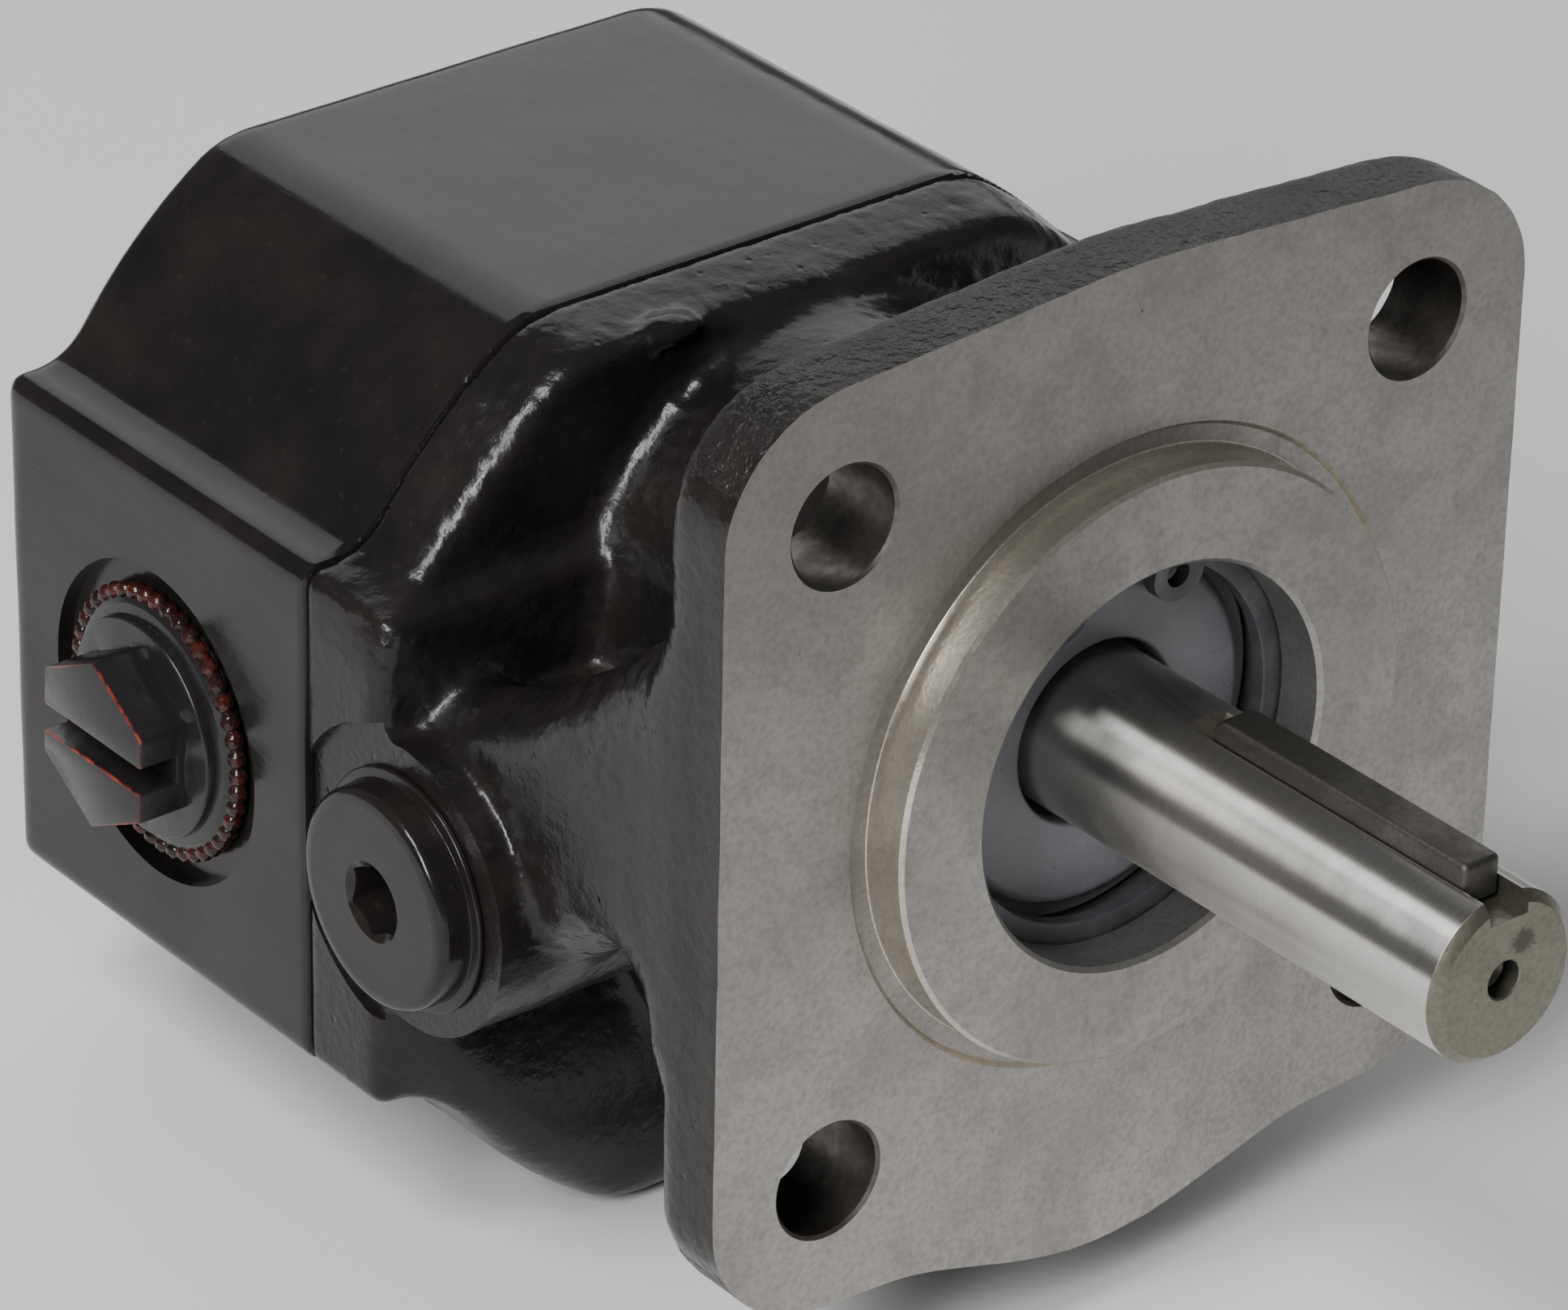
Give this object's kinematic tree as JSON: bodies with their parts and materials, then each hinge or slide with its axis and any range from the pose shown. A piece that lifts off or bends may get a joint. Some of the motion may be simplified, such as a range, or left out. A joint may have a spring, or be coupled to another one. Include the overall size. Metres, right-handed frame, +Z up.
{
  "type": "hydraulic gear pump",
  "caption": "Flange-mounted external gear pump: black cast body with side ports, square mounting flange with pilot, and a keyed straight drive shaft.",
  "frame": {"origin": "under the middle of the pump's bounding box, on the plane of its flat base", "axes": "+Y to the rear along the drive shaft, +X to the right seen from the shaft end, +Z up"},
  "size_m": [0.0892, 0.118, 0.0837],
  "materials": {
    "black_enamel": "gloss enamel over rough casting",
    "ground_steel": "ground",
    "dark_steel": "oiled black oxide",
    "spring_steel": "drawn wire",
    "bush_bronze": "bored",
    "plate_bronze": "lapped",
    "seal_rubber": "moulded, blue-grey",
    "black_rubber": "moulded",
    "plug_plastic": "moulded, oversprayed black"
  },
  "bodies": {
    "housing": {"front_cover": "black_enamel", "gear_housing": "black_enamel", "body_seal": "black_rubber", "cover_bolt_1": "dark_steel", "cover_bolt_2": "dark_steel", "cover_bolt_3": "dark_steel", "cover_bolt_4": "dark_steel", "bolt_washer_1": "spring_steel", "bolt_washer_2": "spring_steel", "bolt_washer_3": "spring_steel", "bolt_washer_4": "spring_steel", "dowel_pin_1": "ground_steel", "dowel_pin_2": "ground_steel", "drive_front_bush": "bush_bronze", "drive_rear_bush": "bush_bronze", "idler_front_bush": "bush_bronze", "idler_rear_bush": "bush_bronze", "front_wear_block": "plate_bronze", "rear_wear_plate": "plate_bronze", "shaft_seal": "seal_rubber", "seal_garter_spring": "spring_steel", "retaining_ring": "dark_steel", "valve_plug": "black_enamel", "valve_plug_seal": "black_rubber", "relief_spring": "spring_steel", "relief_seat": "ground_steel", "outlet_plug": "plug_plastic", "outlet_plug_seal": "black_rubber", "inlet_plug": "plug_plastic", "inlet_plug_seal": "black_rubber"},
    "drive": {"drive_shaft": "ground_steel", "shaft_key": "dark_steel", "drive_gear": "ground_steel", "drive_gear_key": "dark_steel"},
    "idler": {"idler_shaft": "ground_steel", "driven_gear": "ground_steel", "driven_gear_key": "dark_steel"},
    "poppet": {"relief_poppet": "ground_steel"}
  },
  "joints": [
    {"name": "drive_shaft_spin", "type": "hinge", "parent": "housing", "child": "drive", "pos_m": [0, -0.0209, 0.0463], "axis": [0, 1, 0], "continuous": true},
    {"name": "driven_gear_spin", "type": "hinge", "parent": "housing", "child": "idler", "pos_m": [0, 0.0376, 0.0223], "axis": [0, 1, 0], "continuous": true},
    {"name": "relief_poppet_lift", "type": "slide", "parent": "housing", "child": "poppet", "axis": [-1, 0, 0], "range_m": [0, 0.002], "stiffness_N_per_m": 4000, "springref_m": -0.0005, "deforming": ["relief_spring"]}
  ],
  "couplings": [
    {"joint": "driven_gear_spin", "follows": "drive_shaft_spin", "ratio": -1}
  ]
}
